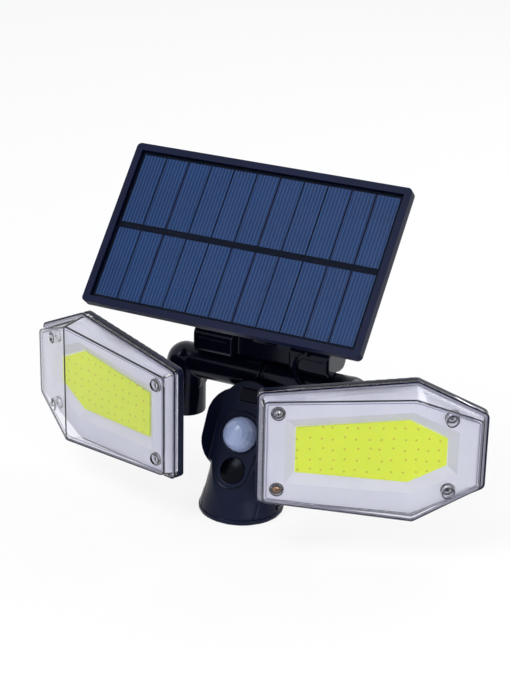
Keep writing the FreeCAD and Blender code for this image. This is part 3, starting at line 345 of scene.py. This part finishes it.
def phosphor(name, origin, turn):
    """Yellow-green gel with a faint grid of the chips under it, laid out in the lamp's own frame."""
    mat, tree, shader = new_material(name)
    coords = object_coordinates(tree)
    mapping = tree.nodes.new("ShaderNodeMapping")
    mapping.vector_type = "TEXTURE"
    mapping.inputs["Location"].default_value = origin
    mapping.inputs["Rotation"].default_value = (0, 0, turn)
    tree.links.new(coords, mapping.inputs["Vector"])
    axes = split_axes(tree, mapping.outputs["Vector"])
    flat = tree.nodes.new("ShaderNodeCombineXYZ")
    tree.links.new(axes["X"], flat.inputs["X"])
    tree.links.new(axes["Z"], flat.inputs["Y"])
    grid = tree.nodes.new("ShaderNodeTexVoronoi")
    grid.voronoi_dimensions = "2D"
    grid.inputs["Scale"].default_value = 1 / (CHIP_PITCH * MM)
    grid.inputs["Randomness"].default_value = 0.3
    tree.links.new(flat.outputs["Vector"], grid.inputs["Vector"])
    dots = add_ramp(tree, grid.outputs["Distance"], (0.04, (0.66, 0.54, 0.002)), (0.13, (0.84, 1.0, 0.0)))
    cloud = add_noise(tree, coords, 130)
    tree.links.new(mix_colours(tree, 0.2, dots, cloud, "OVERLAY"), shader.inputs["Base Color"])
    grained(tree, shader, coords, 260, 0.0002, (0.32, 0.5))
    return mat


def silicon(name):
    """Blue crystalline silicon with fine upright finger lines."""
    mat, tree, shader = new_material(name)
    coords = object_coordinates(tree)
    tone = add_noise(tree, coords, 28)
    blue = add_ramp(tree, tone, (0.25, (0.0006, 0.0165, 0.078)), (0.75, (0.0016, 0.0245, 0.106)))
    across = add_math(tree, "ADD", split_axes(tree, coords)["X"], 1)
    along_pitch = add_math(tree, "MODULO", across, FINGER_PITCH * MM)
    finger = add_math(tree, "LESS_THAN", along_pitch, FINGER_WIDTH * MM)
    strength = add_math(tree, "MULTIPLY", finger, FINGER_SHARE)
    lined = mix_colours(tree, strength, blue, (0.012, 0.07, 0.21, 1))
    tree.links.new(lined, shader.inputs["Base Color"])
    grained(tree, shader, coords, 90, 0.00001, (0.3, 0.42))
    shader.inputs["Specular IOR Level"].default_value = 0.1
    return mat


shell = plastic("shell_plastic", (0.003, 0.0048, 0.017), (0.005, 0.0075, 0.024), (0.26, 0.36), specular=0.16)
gloss_shell = plastic("gloss_shell_plastic", (0.0015, 0.0022, 0.008), (0.003, 0.004, 0.012), (0.14, 0.22),
                      specular=0.22)
bezel = plastic("bezel_plastic", (0.0022, 0.004, 0.02), (0.0036, 0.006, 0.027), (0.32, 0.42), specular=0.07)
rubber = plastic("rubber", (0.003, 0.003, 0.006), (0.005, 0.005, 0.009), (0.5, 0.65), specular=0.15)
board = plastic("solder_mask", (0.02, 0.15, 0.05), (0.03, 0.21, 0.08), (0.3, 0.42))
wrap = plastic("battery_wrap", (0.03, 0.1, 0.36), (0.045, 0.14, 0.45), (0.2, 0.3))
white = plastic("reflector_white", (0.76, 0.76, 0.86), (0.82, 0.82, 0.91), (0.28, 0.4), grain=900)
backing = plastic("backing_sheet", (0.0015, 0.003, 0.008), (0.0025, 0.004, 0.011), (0.4, 0.55),
                  specular=0.05)
lens = plastic("smoke_lens", (0.0008, 0.0008, 0.002), (0.0015, 0.0015, 0.003), (0.2, 0.28), specular=0.1)
# Painted shade: dark lines drawn along the clear cover's lip and front edges
painted_edge_shade = plastic("lip_edge_painted_shade", (0.004, 0.006, 0.022), (0.007, 0.01, 0.034), (0.2, 0.3), specular=0.2)
# Painted highlight: a fine pale line inside the clear cover's front
step_highlight = plastic("step_highlight_line", (0.2, 0.2, 0.32), (0.26, 0.26, 0.4), (0.3, 0.4), specular=0.3)
# Painted highlight: pale faces on the housing's front, seen under the clear cover's lip
lip_highlight = plastic("painted_lip_highlight", (0.42, 0.42, 0.52), (0.5, 0.5, 0.6), (0.35, 0.5), specular=0.3)
steel = metal("zinc_steel", (0.5, 0.5, 0.53), (0.68, 0.68, 0.72), (0.22, 0.38))
black_steel = metal("black_oxide_steel", (0.02, 0.022, 0.03), (0.035, 0.037, 0.048), (0.35, 0.5))
bronze = metal("passivated_screw", (0.42, 0.24, 0.15), (0.55, 0.36, 0.24), (0.25, 0.4))
aluminium = metal("masked_aluminium", (0.78, 0.79, 0.82), (0.86, 0.87, 0.9), (0.3, 0.45))
cover = clear("clear_cover", (0.95, 0.95, 0.99), (0.0, 0.03), ior=1.42)
glazing = clear("panel_glazing", (0.001, 0.006, 0.018), (0.3, 0.4), alpha=0.03, specular=0.0)
sensor = clear("sensor_dome", (0.38, 0.46, 0.72), (0.08, 0.18), alpha=0.93, ior=1.5)
cells = silicon("silicon")

NODES_OF = {
    shell: ["base_plate", "pir_retainer", "battery_cradle", "front_shell", "rear_shell", "rear_cover",
            "panel_bracket", "arm_right", "arm_left", "lamp_housing_right", "lamp_housing_left",
            "panel_back_cover", "hinge_knob"],
    bezel: ["panel_frame"],
    rubber: ["mode_button", "cover_gasket"],
    lens: ["light_lens"],
    black_steel: ["base_lock_screws", "pivot_plate"],
    steel: ["rear_cover_screws", "bracket_screws", "cross_shaft", "arm_washer_right",
            "arm_washer_left", "arm_screw_right", "arm_screw_left", "swivel_pin_right", "swivel_pin_left",
            "hinge_bolt", "lamp_screws_right", "lamp_screws_left", "pir_sensor"],
    sensor: ["pir_dome"],
    board: ["main_board"],
    wrap: ["battery_cell"],
    glazing: ["panel_glazing"],
    backing: ["panel_backing"],
    cells: ["solar_cells"],
    aluminium: ["led_board_right", "led_board_left"],
    white: ["reflector_right", "reflector_left"],
    cover: ["lamp_cover_right", "lamp_cover_left"],
}


def dress(obj, mat):
    obj.data.materials.clear()
    obj.data.materials.append(mat)


for mat, names in NODES_OF.items():
    for name in names:
        dress(nodes[name], mat)
for hand, side in SIDES:
    dress(nodes[f"led_phosphor_{hand}"],
          phosphor(f"phosphor_{hand}", (side * ARM_X * MM, BAR_Y * MM, LAMP_Z * MM),
                   side * math.radians(SWING[hand])))


# ------------------------------------------------------------------ places, from sizes in mm
def at(x, y, z):
    return Matrix.Translation(Vector((x, y, z)) * MM)


def lamp_frame(hand, side):
    """The lamp's own frame: origin on its swivel axis, -Y the way it shines."""
    return at(side * ARM_X, BAR_Y, LAMP_Z) @ Matrix.Rotation(side * math.radians(SWING[hand]), 4, "Z")


FACE = at(0, FACE_Y, FACE_Z) @ Matrix.Rotation(math.radians(90 - FACE_LEAN), 4, "X")
UPRIGHT = Matrix.Rotation(math.pi / 2, 4, "X")


def outline_edges():
    """Each edge of the lamp's outline: its start, and the unit normal that points inwards."""
    for (x0, y0), (x1, y1) in zip(OUTLINE, OUTLINE[1:] + OUTLINE[:1]):
        run = math.hypot(x1 - x0, y1 - y0)
        yield x0, y0, -(y1 - y0) / run, (x1 - x0) / run


def rim_distance(u, h):
    """How far inside the lamp's outline a point lies."""
    return min(nx * (u - x0) + ny * (h - y0) for x0, y0, nx, ny in outline_edges())


def drawn_in(inset):
    """The lamp's outline moved inwards by an amount on every edge."""
    lines = [(nx, ny, nx * x0 + ny * y0 + inset) for x0, y0, nx, ny in outline_edges()]
    corners = []
    for (a, b, c), (d, e, f) in zip([lines[-1]] + lines[:-1], lines):
        det = a * e - b * d
        corners.append(((c * e - b * f) / det, (a * f - c * d) / det))
    return corners


# ------------------------------------------------------------------ moulded skins over the CAD solids
def moulded(name, mat, body, rounds=EDGE_ROUNDS):
    """A copy of a CAD solid with the softly rounded edges of a moulding."""
    piece = bpy.data.objects.new(name + "_skin", nodes[name].data.copy())
    scene.collection.objects.link(piece)
    remesh = piece.modifiers.new("remesh", "REMESH")
    remesh.mode = "VOXEL"
    remesh.voxel_size = VOXEL * MM
    smooth = piece.modifiers.new("smooth", "SMOOTH")
    smooth.iterations = rounds
    smooth.factor = 0.5
    thin = piece.modifiers.new("thin", "DECIMATE")
    thin.ratio = KEPT_FACES
    bpy.context.view_layer.update()
    result = bpy.data.meshes.new_from_object(piece.evaluated_get(bpy.context.evaluated_depsgraph_get()))
    piece.modifiers.clear()
    piece.data = result
    for face in result.polygons:
        face.use_smooth = True
    dress(piece, mat)
    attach(piece, body)
    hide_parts(name)
    return piece


def add_lip_highlight(piece, hand, side):
    """Pale band of painted highlight along the front of the housing's rim, under the clear cover's lip."""
    piece.data.materials.append(lip_highlight)
    to_lamp = lamp_frame(hand, side).inverted()
    for face in piece.data.polygons:
        centre = to_lamp @ face.center
        inset = rim_distance(side * centre.x / MM + PIVOT_U, centre.z / MM)
        # the housing's front faces under the cover's lip take the pale painted highlight
        if centre.y < -(LAMP_REACH - LIP_HIGHLIGHT_DEPTH) * MM and inset > LIP_HIGHLIGHT_INSET:
            face.material_index = 1


for name in ("front_shell", "rear_shell", "base_plate"):
    moulded(name, shell, "body")
for hand, side in SIDES:
    moulded(f"arm_{hand}", gloss_shell, f"arm_{hand}")
    # each housing's front under its cover's lip gets a pale painted highlight
    add_lip_highlight(moulded(f"lamp_housing_{hand}", shell, f"lamp_{hand}"), hand, side)
moulded("panel_bracket", gloss_shell, "body", BRACKET_ROUNDS)


# ------------------------------------------------------------------ building pieces
def add_piece(name, bm, mat, body, smooth=True):
    """Turn a finished mesh into a piece that rides on a body."""
    mesh = bpy.data.meshes.new(name)
    bm.normal_update()
    bm.to_mesh(mesh)
    bm.free()
    for face in mesh.polygons:
        face.use_smooth = smooth
    piece = bpy.data.objects.new(name, mesh)
    scene.collection.objects.link(piece)
    dress(piece, mat)
    if smooth:
        mesh.set_sharp_from_angle(angle=math.radians(SHARP_ANGLE))
    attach(piece, body)
    return piece


def lathe(bm, profile, turns, place):
    """Revolve (radius, height) points about the local Z axis and put them at a place."""
    rings = []
    for radius, height in profile:
        if radius < TINY:
            rings.append([bm.verts.new(place @ Vector((0, 0, height * MM)))])
            continue
        ring = []
        for i in range(turns):
            turn = 2 * math.pi * i / turns
            spot = Vector((radius * math.cos(turn), radius * math.sin(turn), height))
            ring.append(bm.verts.new(place @ (spot * MM)))
        rings.append(ring)
    for low, high in zip(rings, rings[1:]):
        for i in range(turns):
            following = i + 1
            quad = [low[i % len(low)], low[following % len(low)], high[following % len(high)],
                    high[i % len(high)]]
            corners = list(dict.fromkeys(quad))
            if len(corners) > 2:
                bm.faces.new(corners)


def soft_block(bm, size, place, radius):
    """A block with rounded edges."""
    stretch = Matrix.Diagonal((*(v * MM for v in size), 1))
    made = bmesh.ops.create_cube(bm, size=1, matrix=place @ stretch)
    edges = list({e for v in made["verts"] for e in v.link_edges})
    bmesh.ops.bevel(bm, geom=edges, offset=radius * MM, segments=3, profile=0.5, affect="EDGES")


def tube(bm, path, radius, place, closed=True):
    """A round bead along (x, y) points of a plane."""
    rings = []
    last = len(path) - 1
    for i, (x, y) in enumerate(path):
        before = Vector(path[i - 1] if closed or i else path[0])
        after = Vector(path[(i + 1) % len(path)] if closed or i < last else path[last])
        way = (after - before).normalized()
        ring = []
        for k in range(BEAD_SIDES):
            turn = 2 * math.pi * k / BEAD_SIDES
            out = radius * math.cos(turn)
            spot = Vector((x + way.y * out, y - way.x * out, radius * math.sin(turn)))
            ring.append(bm.verts.new(place @ (spot * MM)))
        rings.append(ring)
    pairs = list(zip(rings, rings[1:]))
    if closed:
        pairs.append((rings[-1], rings[0]))
    for low, high in pairs:
        for k in range(BEAD_SIDES):
            following = (k + 1) % BEAD_SIDES
            bm.faces.new((low[k], low[following], high[following], high[k]))
    if not closed:
        bm.faces.new(rings[0])
        bm.faces.new(rings[-1])
    bmesh.ops.recalc_face_normals(bm, faces=bm.faces)


def arc(centre, radii, first, last, steps):
    """(x, y) points along part of an ellipse."""
    angles = [math.radians(first + (last - first) * i / steps) for i in range(steps + 1)]
    return [(centre[0] + radii[0] * math.cos(a), centre[1] + radii[1] * math.sin(a)) for a in angles]


# ------------------------------------------------------------------ pieces on the body's face
def add_dome():
    """Motion-sensor dome with the facets of its lens array, over its seating flange."""
    bm = bmesh.new()
    rows = [math.radians(a) for a in DOME_ROWS]
    bore = DOME_RADIUS - DOME_WALL
    outer = [(DOME_RADIUS * math.cos(a), DOME_RADIUS * math.sin(a)) for a in rows]
    inner = [(bore * math.cos(a), bore * math.sin(a)) for a in reversed(rows)]
    low = -SHELL_WALL - FLANGE_THICKNESS
    rim = [(bore, low), (DOME_FLANGE, low), (DOME_FLANGE, -SHELL_WALL), (DOME_RADIUS, -SHELL_WALL)]
    lathe(bm, inner + rim + outer, DOME_FACETS, FACE)
    bmesh.ops.remove_doubles(bm, verts=bm.verts, dist=TINY)
    bmesh.ops.recalc_face_normals(bm, faces=bm.faces)
    piece = add_piece("dome_facets", bm, sensor, "body", smooth=False)
    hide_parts("pir_dome")


def add_face_ring():
    """Raised oval bead round the sensor and the lens."""
    bm = bmesh.new()
    upper = arc((0, 0), (RING_UPPER, RING_UPPER), 0, 180, RING_STEPS)
    lower = arc((0, -LENS_DROP), (RING_LOWER, RING_LOWER), 180, 360, RING_STEPS)
    tube(bm, upper + lower, RING_BEAD, FACE)
    add_piece("face_bead", bm, gloss_shell, "body")


# ------------------------------------------------------------------ pieces on the lamps
def add_lamp_screws(hand, side):
    """Round cross-recess heads on each lamp, one of them bronze, each turned differently; the recesses are
    dark blocks of painted shade.
    """
    heads = bmesh.new()
    recess_shade = bmesh.new()
    odd = bmesh.new()
    for u, h in SCREWS:
        place = lamp_frame(hand, side) @ at(side * (u - PIVOT_U), -(LAMP_REACH + SCREW_SEAT), h) @ UPRIGHT @ \
            Matrix.Rotation(0.4 + u, 4, "Z")
        is_odd = (hand, (u, h)) == ("right", SCREWS[1])
        lathe(odd if is_odd else heads, HEAD_PROFILE, HEAD_SIDES, place)
        for size in RECESS_SIZES:
            soft_block(recess_shade, size, place @ at(0, 0, RECESS_HEIGHT), RECESS_ROUND)
    bmesh.ops.recalc_face_normals(heads, faces=heads.faces)
    piece = add_piece(f"lamp_screw_heads_{hand}", heads, steel, f"lamp_{hand}")
    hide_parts(f"lamp_screws_{hand}")
    # dark blocks of painted shade stand in for the screws' cross recesses
    add_piece(f"lamp_screw_recess_shade_{hand}", recess_shade, rubber, f"lamp_{hand}")
    if odd.verts:
        bmesh.ops.recalc_face_normals(odd, faces=odd.faces)
        add_piece(f"lamp_screw_bronze_{hand}", odd, bronze, f"lamp_{hand}")
    else:
        odd.free()


def keel_depth(u):
    """How far the clear cover's front stands before the lamp's flange plane."""
    if u < KEEL_U:
        return KEEL_INNER + (KEEL_DEPTH - KEEL_INNER) * max(u, 0) / KEEL_U
    return KEEL_DEPTH + (KEEL_OUTER - KEEL_DEPTH) * (u - KEEL_U) / (KEEL_END - KEEL_U)


def corner_arcs(base, inset):
    """The outline drawn in by a base amount, with its moulded corners, then by an inset from there."""
    radius = max(CORNER - inset, SMALLEST_CORNER)
    spots = []
    for index, corner in enumerate(OUTLINE):
        before, after = OUTLINE[index - 1], OUTLINE[(index + 1) % len(OUTLINE)]
        first = math.atan2(before[0] - corner[0], corner[1] - before[1])
        turn = (math.atan2(corner[0] - after[0], after[1] - corner[1]) - first) % (2 * math.pi)
        x, z = drawn_in(base(corner[0]) + inset + radius)[index]
        angles = [first + turn * k / CORNER_STEPS for k in range(CORNER_STEPS + 1)]
        spots += [(x + radius * math.cos(a), z + radius * math.sin(a)) for a in angles]
    return spots


def flat_loop(inset, depth):
    """The lamp's outline drawn in, at one depth before its flange plane."""
    return [(u, h, depth) for u, h in corner_arcs(lambda u: 0, inset)]


def front_inset(u):
    """How far the cover's drafted wall has drawn in where it meets the keeled front."""
    return LIP_STEP + keel_depth(u) * math.tan(math.radians(COVER_DRAFT))


def front_loop(inset, behind):
    """The cover's front outline drawn in, at a depth behind its keeled front."""
    return [(u, h, keel_depth(u) - behind) for u, h in corner_arcs(front_inset, inset)]


def square_section(loop, inner, outer, near, far):
    """Four loops that make a band of rectangular section, from its two insets and its two depths."""
    return [loop(outer, far), loop(outer, near), loop(inner, near), loop(inner, far)]


def add_band(name, loops, mat, hand):
    """A closed band through loops of (u, h, depth) points of a lamp."""
    bm = bmesh.new()
    side = dict(SIDES)[hand]
    place = lamp_frame(hand, side)
    rows = [[bm.verts.new(place @ (Vector((side * (u - PIVOT_U), -(LAMP_REACH + depth), h)) * MM))
             for u, h, depth in loop] for loop in loops]
    for low, high in zip(rows, rows[1:] + rows[:1]):
        for i in range(len(low)):
            following = (i + 1) % len(low)
            bm.faces.new((low[i], low[following], high[following], high[i]))
    bmesh.ops.recalc_face_normals(bm, faces=bm.faces)
    add_piece(name, bm, mat, f"lamp_{hand}", smooth=False)


def add_painted_cover_lines(hand):
    """Painted light on the cover: dark lines of painted shade at the edges of the cover's lip and front, and
    a fine pale line of painted highlight at a step inside the front.
    """
    lip = square_section(flat_loop, inner=1.0, outer=0.05,
                         near=LIP_THICKNESS + 0.08, far=LIP_THICKNESS - 0.3)
    front = square_section(front_loop, inner=0.85, outer=0.2, near=0.3, far=0.6)
    # a pale band of painted highlight at the step inside the cover's front
    inside = square_section(front_loop, inner=3.05, outer=2.6, near=2.05, far=2.3)
    # dark bands of painted shade along the cover's lip and front edges
    add_band(f"lip_shade_line_{hand}", lip, painted_edge_shade, hand)
    add_band(f"front_shade_line_{hand}", front, painted_edge_shade, hand)
    add_band(f"step_highlight_line_{hand}", inside, step_highlight, hand)


# ------------------------------------------------------------------ pieces on the saddle and the panel
def add_lug_ridges():
    """Two moulded ridges across the rounded top of each saddle lug."""
    bm = bmesh.new()
    middle = (SADDLE_HALF_WIDTH + NOTCH_HALF) / 2
    for side in (1, -1):
        for behind, height in RIDGES:
            soft_block(bm, RIDGE_SIZE, at(side * middle, SADDLE_FRONT + behind, height), RIDGE_ROUND)
    add_piece("saddle_ridges", bm, gloss_shell, "body")


def add_saddle_hook():
    """Curved clamp rib in front of the right saddle lug, from the lug down towards the arm."""
    bm = bmesh.new()
    path = arc(HOOK_MIDDLE, HOOK_RADII, HOOK_START, HOOK_END, HOOK_STEPS) + HOOK_FOOT
    tube(bm, path, HOOK_BEAD, at(0, SADDLE_FRONT - HOOK_STAND, 0) @ UPRIGHT, closed=False)
    add_piece("saddle_hook", bm, gloss_shell, "body")


def add_glazing():
    """The panel's clear sheet, a hair thinner than its solid so that it stays clear of the cells' faces."""
    bm = bmesh.new()
    lean = math.radians(PANEL_LEAN)
    width, height, thickness = GLAZING_SIZE
    depth = thickness - GLAZING_GAP
    place = at(0, HINGE_Y - HINGE_BACK * math.cos(lean), HINGE_Z + HINGE_BACK * math.sin(lean)) @ \
        Matrix.Rotation(math.pi / 2 - lean, 4, "X") @ at(0, 0, GLAZING_FRONT - depth / 2)
    soft_block(bm, (width, height, depth), place, GLAZING_ROUND)
    piece = add_piece("glazing_sheet", bm, glazing, "panel")
    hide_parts("panel_glazing")


add_dome()
add_face_ring()
for hand, side in SIDES:
    add_lamp_screws(hand, side)
    add_band(f"reflector_skirt_{hand}", [flat_loop(*corner) for corner in SKIRT], white, hand)
    add_painted_cover_lines(hand)
add_lug_ridges()
add_saddle_hook()
add_glazing()


# ------------------------------------------------------------------ floor
def add_floor():
    """Pale floor that keeps the light's shadow and is otherwise seen as nearly white."""
    mesh = bpy.data.meshes.new("floor")
    far = FLOOR_HALF
    mesh.from_pydata([(-far, -far, 0), (far, -far, 0), (far, far, 0), (-far, far, 0)], [], [(0, 1, 2, 3)])
    floor = bpy.data.objects.new("floor", mesh)
    floor.location.z = -FLOOR_DROP
    scene.collection.objects.link(floor)
    mat, tree, shader = new_material("floor_white")
    mottled(tree, shader, object_coordinates(tree), (0.93, 0.93, 0.94), (0.95, 0.95, 0.96), scale=2)
    shader.inputs["Roughness"].default_value = 0.9
    glow = tree.nodes.new("ShaderNodeEmission")
    glow.inputs["Strength"].default_value = 1
    amount = add_math(tree, "MULTIPLY", seen_white(tree), FLOOR_GLOW)
    mixed = mix_shaders(tree, amount, shader.outputs[0], glow.outputs[0])
    tree.links.new(mixed, tree.nodes["Material Output"].inputs["Surface"])
    mesh.materials.append(mat)


add_floor()
